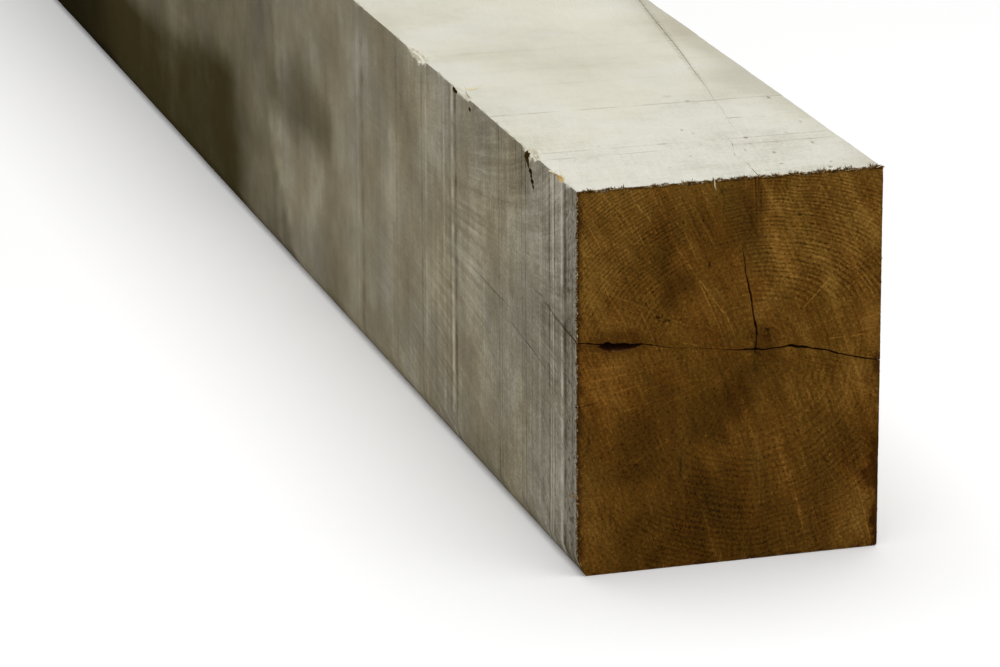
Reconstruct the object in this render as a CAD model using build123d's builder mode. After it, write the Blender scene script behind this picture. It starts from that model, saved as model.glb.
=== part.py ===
from build123d import *
import os

# One sawn oak beam with its heart shake, drying checks, waney arris and chipped edge.
# Millimetres, Z up. The beam lies along Y on its underside at z = 0, centred over the origin.
# The near end, at y = -beam_length / 2, is the one that shows the heart shake.

# Sawn section and length
beam_width = 200.0
beam_height = 250.0
beam_length = 2500.0

# Sharp sawn arrises are broken a little, and the lower left one follows the round of the log
arris_break = 0.8
wane_width = 6.0
wane_height = 13.0
wane_bulge = 0.8

# Place of the pith on the near end, from the beam's centre line and up from its underside
pith_across = 17.0
pith_up = 139.0

# The grain winds round the pith, clockwise as seen from the near end
grain_twist_per_metre = 50.0

# A check narrows to this share of its opening at its root
root_share = 0.2
# Cutters start this far outside the face they open on
overrun = 2.0

# Heart shake, right across the near end through the pith: place from the pith and opening
shake_depth = 105.0
shake_left_rise = 14.2
shake_left_opening = 1.0
shake_right_fall = 15.2
shake_right_opening = 1.2
shake_inner_stations = [
    (-74.0, 9.8, 1.2),
    (-24.0, 1.9, 0.7),
    (0.0, 0.0, 1.8),
    (23.0, -0.5, 1.3),
    (47.0, -5.5, 1.1),
]

# Pocket where the shake has opened up, left of the pith
pocket_from_pith = 90.0
pocket_rise = 10.4
pocket_length = 31.0
pocket_opening = 7.0
pocket_tilt = -4.0
pocket_depth = 26.0
pocket_taper = 4.0

# Upright check from the pith: height above it, drift to the left and opening
upright_depth = 80.0
upright_stations = [
    (0.0, 0.0, 1.9),
    (17.0, 0.8, 1.8),
    (36.0, 4.0, 1.6),
    (51.0, 7.5, 1.2),
    (70.0, 9.8, 0.3),
]

# Seasoning check along the top, from the near end over to the right arris
top_check_length = 490.0
top_check_depth = 20.0
top_check_end_margin = 4.0
top_check_bow = 5.0
top_check_mouth = 1.2
top_check_opening = 1.5
top_check_tip = 0.3

# Seasoning check low on the left side, rising with the grain
side_check_start = 33.0
side_check_length = 194.0
side_check_low = 113.5
side_check_rise = 24.0
side_check_opening = 0.8
side_check_tip = 0.3
side_check_depth = 8.0

# Short check up from the underside on the near end
foot_check_height = 11.5
foot_check_drift = 2.4
foot_check_opening = 1.0
foot_check_tip = 0.3
foot_check_depth = 14.0

# Chips along the upper left arris: distance from the near end, length and depth
arris_chips = [
    (36.0, 40.0, 1.8),
    (98.0, 42.0, 3.6),
    (254.0, 42.0, 3.0),
    (365.0, 54.0, 4.6),
]
# A scoop reaches this many times its depth to each side of the arris
scoop_reach = 4.0

left = -beam_width / 2
right = beam_width / 2
near = -beam_length / 2

# On the end planes the drawing's x runs to the right and its y runs up, as seen from outside
near_end = Plane(origin=(0, near, 0), x_dir=(1, 0, 0), z_dir=(0, -1, 0))
pith_plane = Plane(origin=(pith_across, near, pith_up), x_dir=(1, 0, 0), z_dir=(0, -1, 0))
# Here x runs up from the pith and y runs to the left
upright_plane = Plane(origin=(pith_across, near, pith_up), x_dir=(0, 0, 1), z_dir=(0, -1, 0))
# Here x runs up from the underside, below the pith, and y runs to the left
foot_plane = Plane(origin=(pith_across, near, 0), x_dir=(0, 0, 1), z_dir=(0, -1, 0))
# Here x runs back from the near end and y runs to the left, from above the pith
top_plane = Plane(origin=(pith_across, near, beam_height), x_dir=(0, 1, 0), z_dir=(0, 0, 1))
# Here x runs towards the near end and y runs up
side_plane = Plane(origin=(left, near, 0), x_dir=(0, -1, 0), z_dir=(-1, 0, 0))


def check_cutter(mouth, stations, depth, twist=0.0):
    """A wedge along the stations (along, aside, opening), closing to a hairline at its depth."""
    root = mouth.moved(Location((0, 0, -depth), (0, 0, twist)))
    with BuildPart() as cutter:
        for plane, share in ((mouth.offset(overrun), 1.0), (root, root_share)):
            with BuildSketch(plane):
                with BuildLine():
                    upper = Spline(*[(u, v + gap * share / 2) for u, v, gap in stations])
                    lower = Spline(*[(u, v - gap * share / 2) for u, v, gap in stations])
                    Line(upper @ 0, lower @ 0)
                    Line(upper @ 1, lower @ 1)
                make_face()
        loft(ruled=True)
    return cutter.part


def grain_twist(depth):
    """Turn of the grain about the pith at a depth below the near end, in degrees."""
    return -grain_twist_per_metre * depth / 1000


# The shake runs out through both sides of the beam
shake_stations = (
    [(left - pith_across - overrun, shake_left_rise, shake_left_opening)]
    + shake_inner_stations
    + [(right - pith_across + overrun, -shake_right_fall, shake_right_opening)]
)

# The top check drifts from above the pith to just short of the right arris
top_drift = right - top_check_end_margin - pith_across
top_stations = [
    (-overrun, 0.0, top_check_mouth),
    (top_check_length / 2, -top_drift / 2 - top_check_bow, top_check_opening),
    (top_check_length, -top_drift, top_check_tip),
]

side_stations = [
    (-side_check_start, side_check_low, side_check_tip),
    (-side_check_start - side_check_length / 2, side_check_low + side_check_rise / 2, side_check_opening),
    (-side_check_start - side_check_length, side_check_low + side_check_rise, side_check_tip),
]

foot_stations = [
    (-overrun, foot_check_drift, foot_check_opening),
    (foot_check_height / 2, foot_check_drift, foot_check_opening),
    (foot_check_height, foot_check_drift, foot_check_tip),
]

# Every check, wound in with the grain where it opens on the near end
checks = [
    check_cutter(pith_plane, shake_stations, shake_depth, grain_twist(shake_depth)),
    check_cutter(upright_plane, upright_stations, upright_depth, grain_twist(upright_depth)),
    check_cutter(foot_plane, foot_stations, foot_check_depth),
    check_cutter(top_plane, top_stations, top_check_depth),
    check_cutter(side_plane, side_stations, side_check_depth),
]

with BuildPart() as oak_beam:
    # Sawn section, with the round of the log left on at the lower left
    with BuildSketch(near_end):
        with BuildLine():
            wane_foot = (left + wane_width, 0)
            wane_head = (left, wane_height)
            Polyline(
                wane_foot,
                (right - arris_break, 0),
                (right, arris_break),
                (right, beam_height - arris_break),
                (right - arris_break, beam_height),
                (left + arris_break, beam_height),
                (left, beam_height - arris_break),
                wane_head,
            )
            SagittaArc(wane_head, wane_foot, wane_bulge)
        make_face()
    extrude(amount=-beam_length)

    for check in checks:
        add(check, mode=Mode.SUBTRACT)

    # Pocket in the shake
    with BuildSketch(pith_plane):
        with Locations((-pocket_from_pith, pocket_rise)):
            Ellipse(pocket_length / 2, pocket_opening / 2, rotation=pocket_tilt)
    extrude(amount=-pocket_depth, taper=pocket_taper, mode=Mode.SUBTRACT)

    # Each chip is a shallow round scoop across the arris
    for distance, length, depth in arris_chips:
        scoop_radius = (length**2 / 4 + depth**2) / (2 * depth)
        scoop_plane = Plane(
            origin=(left, near + distance, beam_height),
            x_dir=(0, 1, 0),
            z_dir=(1, 0, 1),
        )
        with BuildSketch(scoop_plane):
            with Locations((0, scoop_radius - depth)):
                Circle(scoop_radius)
        extrude(amount=scoop_reach * depth, both=True, mode=Mode.SUBTRACT)

oak_beam.part.label = "oak_beam"

os.makedirs("parts", exist_ok=True)
export_step(oak_beam.part, "parts/oak_beam.step")
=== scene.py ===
import functools
import math

import bmesh
import bpy
import numpy as np
from mathutils import Matrix, Vector


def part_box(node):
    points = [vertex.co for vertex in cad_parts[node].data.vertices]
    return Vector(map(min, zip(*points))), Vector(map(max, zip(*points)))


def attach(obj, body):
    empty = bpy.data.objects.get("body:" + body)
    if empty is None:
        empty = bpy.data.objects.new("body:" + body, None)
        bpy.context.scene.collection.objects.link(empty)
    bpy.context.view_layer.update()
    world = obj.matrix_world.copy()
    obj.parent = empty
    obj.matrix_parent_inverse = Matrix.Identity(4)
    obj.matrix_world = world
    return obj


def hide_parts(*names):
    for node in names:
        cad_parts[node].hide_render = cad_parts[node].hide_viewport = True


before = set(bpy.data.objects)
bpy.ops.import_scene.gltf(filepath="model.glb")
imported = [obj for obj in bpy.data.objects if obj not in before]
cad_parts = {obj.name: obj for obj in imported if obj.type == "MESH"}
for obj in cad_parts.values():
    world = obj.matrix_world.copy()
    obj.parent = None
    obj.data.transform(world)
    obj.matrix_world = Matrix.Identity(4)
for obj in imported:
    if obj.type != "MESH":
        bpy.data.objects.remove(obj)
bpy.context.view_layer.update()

# Lengths are in millimetres unless a name says otherwise, and MM turns them into the frame's metres
MM = 0.001

low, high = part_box("oak_beam")
LEFT, RIGHT = low.x / MM, high.x / MM
NEAR, FAR = low.y / MM, high.y / MM
TOP = high.z / MM
WIDTH, LENGTH = RIGHT - LEFT, FAR - NEAR

# Lower left arris, where the round of the log is left on
WANE_WIDTH, WANE_HEIGHT, WANE_BULGE = 6, 13, 0.8
# The pith on the near end, and the turn of the grain about it in degrees for each millimetre back
PITH_X, PITH_Z = 17, 139
GRAIN_TURN = -0.05
# The scratches of the end's saw are arcs about this point of the end's plane
SAW_X, SAW_Z = -1100, -300
# On the upright sides the grain opens out towards the near end, from this height and this far beyond it
FAN_Z, FAN_REACH, FAN_STOP = 150, 112, 500
# On the level faces it drifts to the right by this much for each millimetre back
TOP_DRIFT = 0.18

# Grid of the near end and of the first millimetres behind it
END_STEP = 1.6
NX, NZ = round(WIDTH / END_STEP), round(TOP / END_STEP)
FINE_ROWS = [0.8, 1.8, 3.0, 4.4, 6.0]
# Grid lines that run the whole length: close together at the arrises, then this many steps apart
ARRIS_LINES = [0, 1, 2, 3, 5, 8, 12]
LINE_STRIDE = 8
# Rows along the length: close together where the near end is seen, then wider
NEAR_ROWS_END, NEAR_ROW_STEP, FAR_ROW_STEP = 620, 2.1, 7
FAR_END_ROWS = [12, 6, 3, 1.4, 0.5, 0]

# Chips along the upper left arris: distance from the near end, length, depth and warmth of the fresh wood
CHIPS = [(32, 40, 1.9, 1), (98, 42, 3.6, 0), (254, 42, 3, 0), (365, 54, 4.6, 0.05)]
# Wear of a long arris reaches this far from it
WEAR_REACH = 3.2

# Strong saw lines on the left side: distance from the near end, width and depth
SAW_LINES = [
    (25.5, 3, -0.45), (31, 3.5, 0.3), (42, 3, 0.25), (50, 2.5, -0.25), (271, 4, -0.4), (278, 4.5, 0.45),
    (306, 4, 0.25), (344, 4.5, 0.3), (509, 6, 0.35),
]
# The saw left this much of the left side standing a little lower, next to the near end
END_BAND, END_BAND_DROP = 28, 0.35

SIDES = ["left", "top", "right", "underside"]
SLOTS = SIDES + ["near_end", "far_end", "check"]


# Smooth noise

@functools.cache
def lattice(seed):
    """The values of a noise at the points of its lattice."""
    return np.random.default_rng(seed).uniform(-1, 1, (256, 256))


def value_noise(u, v, seed):
    """Smooth noise from -1 to 1 on a unit lattice."""
    table = lattice(seed)
    i, j = np.floor(u).astype(int), np.floor(v).astype(int)
    a, b = smooth(0, 1, u - i), smooth(0, 1, v - j)
    i, j, i1, j1 = i & 255, j & 255, (i + 1) & 255, (j + 1) & 255
    near = table[i, j] * (1 - a) + table[i1, j] * a
    far = table[i, j1] * (1 - a) + table[i1, j1] * a
    return near * (1 - b) + far * b


def smooth(low_edge, high_edge, value):
    """0 below the low edge, 1 above the high edge, smooth between."""
    t = np.clip((value - low_edge) / (high_edge - low_edge), 0, 1)
    return t * t * (3 - 2 * t)


# The shape of the beam

def wane_point(share):
    """A point of the waney arris, from its head on the left side (0) to its foot underneath (1)."""
    head, foot = np.array([LEFT, WANE_HEIGHT]), np.array([LEFT + WANE_WIDTH, 0])
    outward = np.array([foot[1] - head[1], -(foot[0] - head[0])])
    outward /= np.linalg.norm(outward)
    return head + (foot - head) * share + outward * WANE_BULGE * 4 * share * (1 - share)


def section_patch():
    """The sawn section as a grid of (x, z) points, stretched between its four edges."""
    x, z = np.linspace(LEFT, RIGHT, NX + 1), np.linspace(0, TOP, NZ + 1)
    bottom, top = np.stack([x, 0 * x], 1), np.stack([x, 0 * x + TOP], 1)
    left, right = np.stack([0 * z + LEFT, z], 1), np.stack([0 * z + RIGHT, z], 1)
    girth = WANE_HEIGHT + WANE_WIDTH
    for k in np.flatnonzero(z < WANE_HEIGHT):
        left[k] = wane_point((WANE_HEIGHT - z[k]) / girth)
    for k in np.flatnonzero(x - LEFT < WANE_WIDTH):
        bottom[k] = wane_point((WANE_HEIGHT + x[k] - LEFT) / girth)
    u = np.linspace(0, 1, NX + 1)[:, None, None]
    v = np.linspace(0, 1, NZ + 1)[None, :, None]
    edges = (1 - u) * left[None] + u * right[None] + (1 - v) * bottom[:, None] + v * top[:, None]
    corners = (1 - u) * (1 - v) * left[0] + u * (1 - v) * right[0]
    corners = corners + (1 - u) * v * left[-1] + u * v * right[-1]
    return edges - corners


def kept_lines(count):
    """Which of count + 1 grid lines run the whole length."""
    edge = ARRIS_LINES
    middle = range(edge[-1] + LINE_STRIDE, count - edge[-1] - LINE_STRIDE // 2, LINE_STRIDE)
    return edge + list(middle) + [count - k for k in reversed(edge)]


def length_rows():
    """Distances of the rows from the near end, behind the fine ones."""
    near = np.arange(FINE_ROWS[-1] + NEAR_ROW_STEP, NEAR_ROWS_END, NEAR_ROW_STEP)
    count = round((LENGTH - FAR_END_ROWS[0] - NEAR_ROWS_END) / FAR_ROW_STEP)
    far = np.linspace(NEAR_ROWS_END, LENGTH - FAR_END_ROWS[0], count + 1)
    return np.concatenate([near, far, LENGTH - np.array(FAR_END_ROWS[1:])])


def chip_depth(back, ragged):
    """How deep the upper left arris is chipped away, along its bisector."""
    depth = 0 * back
    for distance, length, deepest, _ in CHIPS:
        radius = (length**2 / 4 + deepest**2) / (2 * deepest)
        t = np.clip(back - distance, -length / 2, length / 2)
        scoop = deepest - (radius - np.sqrt(radius**2 - t * t))
        depth = np.maximum(depth, scoop * (1 + 0.35 * ragged))
    return depth


def saw_relief(side, back, across):
    """Depth of the saw marks below a sawn face; they run straight across the length."""
    seed = 11 * SLOTS.index(side)
    lean = back + 0.012 * across
    # How deep the marks are, how far apart they lie and how long they run
    marks = [(0.10, 7.5, 70), (0.05, 3.1, 45), (0.16, 55, 120), (0.05, 24, 9)]
    depth = sum(deep * (1 + value_noise(lean / apart, across / run, seed + k))
                for k, (deep, apart, run) in enumerate(marks))
    if side == "left":
        for place, width, deep in SAW_LINES:
            worn = 0.75 + 0.25 * value_noise(across / 30, place, seed + 4)
            depth = depth + deep * worn * np.exp(-(((back - place) / width * 2) ** 2))
        depth = depth + END_BAND_DROP * (1 - smooth(END_BAND - 1.5, END_BAND + 1.5, back))
    return np.maximum(depth, 0)


def arris_wear(back, arris):
    """How much of a long arris is worn off, with a nick here and there."""
    uneven, nicked = (0.25, 3) if arris == 0 else (0.1, 0.5)
    worn = 0.45 + uneven * value_noise(back / 14, 0, 50 + arris)
    return worn + np.maximum(value_noise(back / 5.5, 9, 60 + arris) - 0.55, 0) * nicked


def shaped(section, back, on):
    """Moves points of the long faces in from the sawn box: saw marks, worn arrises and chips.

    section is (x, z), back the distance from the near end, on the faces that each point lies on.
    """
    x, z = section[:, 0].copy(), section[:, 1].copy()
    to_left, to_right, to_top, to_floor = x - LEFT, RIGHT - x, TOP - z, z.copy()
    push = {side: on[side] * saw_relief(side, back, z if side in ("left", "right") else x) for side in SIDES}
    for arris, (a, b) in enumerate([(to_left, to_top), (to_right, to_top), (to_right, to_floor)]):
        wear = np.clip(1 - (a + b) / WEAR_REACH, 0, 1) ** 2 * arris_wear(back, arris) * 0.7
        x += wear if a is to_left else -wear
        z += -wear if b is to_top else wear
    x += push["left"] - push["right"]
    z += push["underside"] - push["top"]
    # Chips leave a rough slope across the upper left arris
    ragged = value_noise(back / 5, 0, 71)
    to_slope = math.sqrt(2) * chip_depth(back, ragged) - ((x - LEFT) + (TOP - z))
    splinter = 0.5 * value_noise(back / 16, (x - LEFT - TOP + z) / 1.1, 72)
    inward = np.maximum(to_slope, 0) / 2 * (1 + 0.25 * splinter)
    return x + inward, z - inward


def end_relief(x, z, seed):
    """Depth of the saw's scratches below an end face; they bend round the saw's centre."""
    across = np.hypot(x - SAW_X, z - SAW_Z)
    depth = 0.05 * (1 + value_noise(across / 2.6, z / 60, seed))
    return depth + 0.09 * (1 + value_noise(across / 17, z / 90, seed + 1))


def beam_mesh():
    """The beam as one closed mesh: both ends, the four long faces and what the saw left on them."""
    patch = section_patch()
    ring = (
        [(i, 0) for i in range(NX)]
        + [(NX, j) for j in range(NZ)]
        + [(i, NZ) for i in range(NX, 0, -1)]
        + [(0, j) for j in range(NZ, 0, -1)]
    )
    ring_side = ["underside"] * NX + ["right"] * NZ + ["top"] * NX + ["left"] * NZ
    ring_xz = np.array([patch[i, j] for i, j in ring])
    every = np.arange(len(ring))
    columns, levels = kept_lines(NX), kept_lines(NZ)
    kept = np.array([k for k, (i, j) in enumerate(ring) if (i in columns if j in (0, NZ) else j in levels)])
    on_ring = {side: np.zeros(len(ring)) for side in SIDES}
    for k, side in enumerate(ring_side):
        on_ring[side][[k, (k + 1) % len(ring)]] = 1

    def row(indices, back):
        """One row of points round the beam at a distance from the near end."""
        far_back = np.full(len(indices), back)
        x, z = shaped(ring_xz[indices], far_back, {side: on_ring[side][indices] for side in SIDES})
        return np.stack([x, far_back, z], 1)

    # Ragged near arrises: bites into the end and nibbles off the faces, at random from point to point
    rng = np.random.default_rng(5)
    bites = np.maximum(value_noise(every / 2.3, 0, 81) + rng.uniform(-0.3, 0.5, len(ring)), 0)
    nibbles = np.maximum(value_noise(every / 1.7, 4, 82) + rng.uniform(-0.2, 0.2, len(ring)) - 0.15, 0)
    # The right and lower arrises were cut clean
    clean = 1 - 0.93 * np.maximum(on_ring["right"], on_ring["underside"])
    bites, nibbles = (0.2 + 1.1 * bites) * clean, 1.5 * nibbles * clean

    def nibbled(back):
        """A row of points close to the near end, without what was nibbled off."""
        level = row(every, back)
        share = max(0, 1 - back / FINE_ROWS[-2]) ** 1.5
        level[:, 0] += (on_ring["left"] - on_ring["right"]) * nibbles * share
        level[:, 2] += (on_ring["underside"] - on_ring["top"]) * nibbles * share
        return level

    near_cap = np.zeros((NX + 1, NZ + 1, 3))
    near_cap[:, :, 0], near_cap[:, :, 2] = patch[:, :, 0], patch[:, :, 1]
    near_cap[:, :, 1] = end_relief(patch[:, :, 0], patch[:, :, 1], 91)
    first = nibbled(0.0)
    first[:, 1] = bites
    for k, (i, j) in enumerate(ring):
        near_cap[i, j] = first[k]

    points = [near_cap.reshape(-1, 3)]
    start = len(points[0])
    rows, long_rows = [np.array([i * (NZ + 1) + j for i, j in ring])], []
    for back in FINE_ROWS:
        level = nibbled(back)
        level[:, 1] += bites * max(0, 1 - back / FINE_ROWS[-2])
        points.append(level)
        rows.append(start + every)
        start += len(ring)
    for back in length_rows():
        points.append(row(kept, back))
        long_rows.append(start + np.arange(len(kept)))
        start += len(kept)

    faces, slots = [], []

    def add(face, slot):
        faces.append(tuple(int(v) for v in face))
        slots.append(SLOTS.index(slot))

    def band(before, after, at):
        """Faces between two rows, which lie at these places of the ring."""
        for m, k in enumerate(at):
            n = (m + 1) % len(at)
            add((before[m], after[m], after[n], before[n]), ring_side[k])

    for i in range(NX):
        for j in range(NZ):
            a = i * (NZ + 1) + j
            add((a, a + NZ + 1, a + NZ + 2, a + 1), "near_end")
    for before, after in zip(rows, rows[1:]):
        band(before, after, every)
    for m, k in enumerate(kept):
        n = (m + 1) % len(kept)
        span = [rows[-1][p % len(ring)] for p in range(k, k + (kept[n] - k) % len(ring) + 1)]
        add((*reversed(span), long_rows[0][m], long_rows[0][n]), ring_side[k])
    for before, after in zip(long_rows, long_rows[1:]):
        band(before, after, kept)

    # Far end, on the lines that run the whole length
    last = {ring[k]: long_rows[-1][m] for m, k in enumerate(kept)}
    inner = []
    for i in columns[1:-1]:
        for j in levels[1:-1]:
            x, z = patch[i, j]
            last[i, j] = start + len(inner)
            inner.append((x, LENGTH - end_relief(x, z, 95), z))
    for i, i1 in zip(columns, columns[1:]):
        for j, j1 in zip(levels, levels[1:]):
            add((last[i, j], last[i, j1], last[i1, j1], last[i1, j]), "far_end")

    points = np.concatenate(points + [np.array(inner)])
    points[:, 1] += NEAR
    mesh = bpy.data.meshes.new("oak_beam_wood")
    mesh.from_pydata(points * MM, [], faces)
    mesh.polygons.foreach_set("material_index", slots)
    mesh.validate()
    return mesh


# Checks, cut into the beam

ON_NEAR_END = ((PITH_X, NEAR, PITH_Z), (1, 0, 0), (0, 0, 1), (0, 1, 0))
UP_FROM_PITH = ((PITH_X, NEAR, PITH_Z), (0, 0, 1), (-1, 0, 0), (0, 1, 0))
ON_TOP = ((0, NEAR, TOP), (0, 1, 0), (1, 0, 0), (0, 0, -1))
ON_LEFT = ((LEFT, NEAR, 0), (0, 1, 0), (0, 0, 1), (1, 0, 0))

# How far down each ring of a cutter lies, as a share of its depth, and how open it is there
V_CUT = [(0, 1), (0.15, 0.85), (0.4, 0.55), (0.7, 0.3), (1, 0.08)]
POCKET_CUT = [(0, 1), (0.08, 0.8), (0.25, 0.62), (0.6, 0.4), (1, 0.12)]

# Where each check opens, its depth, the cut, whether it turns with the grain, then along, aside and opening
CHECKS = {
    "shake_left": (ON_NEAR_END, 105, V_CUT, True, [
        (-119.5, 14.4, 0.9), (-112, 13.4, 0.9), (-104, 12, 1.1), (-89, 10.6, 1.4), (-74, 9.8, 1),
        (-64, 8, 0.55), (-55, 5.7, 0.42), (-38, 3.8, 0.32), (-23, 1.7, 0.35), (-14, 0.2, 0.6),
        (0.5, 0, 1.7),
    ]),
    "pocket": (ON_NEAR_END, 26, POCKET_CUT, False, [
        (-104, 10.8, 0.3), (-101.5, 10.4, 3), (-98.5, 10, 5), (-96.5, 9.8, 7.6), (-95, 10.2, 8.8),
        (-93, 9, 6.4), (-90, 9, 6.6), (-86, 9, 4.6), (-82, 9.2, 3.8), (-78, 9.5, 2.2), (-73.5, 9.7, 0.3),
    ]),
    "shake_right": (ON_NEAR_END, 105, V_CUT, True, [
        (-0.5, 0, 1.8), (5.3, -1.2, 1.5), (12.4, -0.7, 1.1), (23, -0.2, 1.5), (34, -2.2, 1.3),
        (47, -5.5, 1.1), (58, -8.9, 1.2), (70, -12.2, 1), (85, -15.6, 0.6),
    ]),
    "upright": (UP_FROM_PITH, 80, V_CUT, True, [
        (-3, 0.2, 1), (9, -0.5, 1.5), (17, 0.6, 1.4), (23.5, 1.8, 1), (29, 2.6, 1.3), (36, 3.8, 1.2),
        (43.5, 5.4, 0.8), (51, 7.4, 0.9), (55, 7.6, 0.6), (64, 9.1, 0.6), (70, 9.7, 0.12),
    ]),
    "upright_hairline": (UP_FROM_PITH, 12, V_CUT, True, [
        (84, 0.4, 0.12), (90, 0.2, 0.5), (97, 0.9, 0.3), (103, 0.8, 0.5), (112, 1.7, 0.6),
    ]),
    "foot": (UP_FROM_PITH, 14, V_CUT, False, [(-141, 2.5, 0.7), (-134, 2.6, 0.6), (-127, 2.2, 0.12)]),
    "left_end": (ON_NEAR_END, 10, V_CUT, False, [(-119, -28, 0.6), (-110, -26.6, 0.4), (-99, -25.3, 0.12)]),
    "by_the_pith": (ON_NEAR_END, 4, POCKET_CUT, False, [
        (5.6, 12.6, 0.2), (6.8, 12.4, 1.3), (7.6, 11.6, 1.5), (8.6, 10.6, 0.2),
    ]),
    "shake_exit": (ON_LEFT, 9, V_CUT, False, [
        (-2, 152.6, 1.2), (6, 153.1, 0.9), (14, 153.7, 0.6), (24, 154.5, 0.7), (28, 154.9, 1.1),
        (32, 155.2, 0.3), (42, 156, 0.3), (47, 156.4, 0.8), (51, 157.6, 0.25), (57, 159.4, 0.45),
        (64, 160.8, 0.4), (69, 161.6, 0.3), (76, 162.8, 0.6), (82, 162.6, 0.2), (96, 165, 0.12),
        (113, 169, 0.06),
    ]),
    "top_mouth": (ON_TOP, 18, V_CUT, False, [
        (-2, 17.6, 0.5), (8, 19.3, 0.7), (18, 20.2, 0.5), (23, 20.8, 0.1), (31, 21.6, 0.4),
        (38, 21.8, 0.05), (50, 20.8, 0.05), (55, 20.9, 0.4), (61, 22.6, 0.05), (74, 26.4, 0.1),
        (79, 27.8, 0.6), (83, 28.6, 0.1), (97, 30, 0.05),
    ]),
    "top_run": (ON_TOP, 20, V_CUT, False, [
        (108, 40.5, 0.05), (125, 43, 0.08), (145, 46.5, 0.1), (165, 50, 0.14), (190, 53, 0.16),
        (215, 57.5, 0.2), (260, 64, 0.3), (315, 72.5, 0.4), (400, 83.4, 0.42), (466, 92.4, 0.35),
        (490, 96, 0.12),
    ]),
    "side_low": (ON_LEFT, 8, V_CUT, False, [
        (40, 114, 0.12), (58, 116, 0.35), (84, 119.4, 0.3), (104, 121.4, 0.65), (126, 123.6, 0.6),
        (150, 126, 0.12),
    ]),
    "side_high": (ON_LEFT, 8, V_CUT, False, [
        (142, 134, 0.12), (160, 134.6, 0.4), (185, 134.9, 0.3), (205, 136.1, 0.45), (246, 137.4, 0.12),
    ]),
}
# Step along a cutter, and how far it stands out of the face
CHECK_STEP, PROUD = 1.3, 2.5

# Rotten pockets by the chips and bites out of the near arris, on the left side:
# distance from the near end, height, half sizes and depth
GOUGES = [
    (107.5, 245, 4.4, 3.2, 3), (104.8, 242, 3.6, 2.2, 3), (103, 239.8, 1.6, 1.2, 3),
    (98.6, 237.2, 3.8, 1.9, 3), (97, 234.8, 2.2, 1.5, 3), (95, 231.6, 3.4, 1.7, 3),
    (93, 228.8, 2.2, 1.6, 3), (272, 247.4, 5.4, 1.8, 3), (236, 243.2, 2.6, 1.6, 3),
    (1.5, 219, 1.8, 2.4, 1), (1, 206.5, 1.6, 1.6, 1), (2, 187, 5, 1.1, 1.4), (0.5, 173, 1.5, 1.3, 1),
    (0.5, 139, 1.6, 1.5, 1), (0.5, 127, 1.4, 1.2, 1), (1, 112, 3, 1.6, 1.2), (0.5, 104.5, 1.8, 1.5, 1),
    (0.5, 91, 1.8, 1.2, 1), (0.5, 80, 2.2, 1.3, 1), (0.5, 67.5, 2, 1.4, 1), (0.5, 44, 1.6, 1.6, 1),
    (1.5, 28.5, 4.5, 1.8, 1.4), (0.5, 16.5, 1.6, 1.2, 1),
]


def check_cutter(name, place, depth, cut, turns, stations):
    """A closed wedge along the stations, with jagged lips, that closes towards its depth."""
    origin, along, aside, inward = (np.array(v, float) for v in place)
    u, v, gap = np.array(stations).T
    count = max(4, int((u[-1] - u[0]) / CHECK_STEP))
    at = np.linspace(u[0], u[-1], count)
    seed = 100 + list(CHECKS).index(name)
    jag = 0.28 * value_noise(at / 2.2, 0, seed) + 0.35 * value_noise(at / 7, 3, seed)
    jag = jag * (0.4 if place is ON_TOP else 1.6 if cut is POCKET_CUT else 1)
    opening = np.interp(at, u, gap)
    middle = np.interp(at, u, v) + jag * np.minimum(1, opening)
    half = opening / 2 * (1 + 0.35 * value_noise(at / 3.3, 7, seed))
    rings = [(-PROUD, cut[0][1] * 1.05)] + [(share * depth, open_) for share, open_ in cut]
    points, faces = [], []
    for down, open_ in rings:
        turn = math.radians(GRAIN_TURN * max(down, 0)) if turns else 0
        for side in (1, -1):
            across = middle + side * half * open_
            a = at * math.cos(turn) - across * math.sin(turn)
            b = at * math.sin(turn) + across * math.cos(turn)
            points.append(origin + np.outer(a, along) + np.outer(b, aside) + down * inward)

    def strip(first, second):
        faces.extend((first + k, first + k + 1, second + k + 1, second + k) for k in range(count - 1))

    ring, deepest = 2 * count, len(rings) - 1
    strip(0, count)
    for k in range(deepest):
        strip((k + 1) * ring, k * ring)
        strip(k * ring + count, (k + 1) * ring + count)
        for end in (0, count - 1):
            upper, lower = k * ring + end, k * ring + count + end
            face = (upper, upper + ring, lower + ring, lower)
            faces.append(face[::-1] if end == 0 else face)
    strip(deepest * ring + count, deepest * ring)
    return cutter_object(name, np.concatenate(points), faces)


def gouge_cutter(number, back, height, half_length, half_height, depth):
    """A small ragged hollow on the left side."""
    ball = bmesh.new()
    bmesh.ops.create_icosphere(ball, subdivisions=3, radius=1)
    points = np.array([v.co for v in ball.verts])
    faces = [tuple(v.index for v in f.verts) for f in ball.faces]
    ball.free()
    rough = 1 + 0.25 * value_noise(points[:, 1] * 2.3 + 5, points[:, 2] * 2.3 + points[:, 0], 140 + number)
    points = points * rough[:, None] * np.array([depth, half_length, half_height])
    return cutter_object(f"gouge_{number}", points + np.array([LEFT, NEAR + back, height]), faces)


def cutter_object(name, points, faces):
    """A closed cutter, with its faces turned outward, that leaves the walls of a check."""
    mesh = bpy.data.meshes.new(name)
    mesh.from_pydata(points * MM, [], faces)
    for material in materials.values():
        mesh.materials.append(material)
    mesh.polygons.foreach_set("material_index", [SLOTS.index("check")] * len(faces))
    work = bmesh.new()
    work.from_mesh(mesh)
    bmesh.ops.recalc_face_normals(work, faces=work.faces)
    work.to_mesh(mesh)
    work.free()
    return linked(name, mesh)


def linked(name, data):
    """A new object in the scene."""
    made = bpy.data.objects.new(name, data)
    bpy.context.scene.collection.objects.link(made)
    return made


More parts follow.
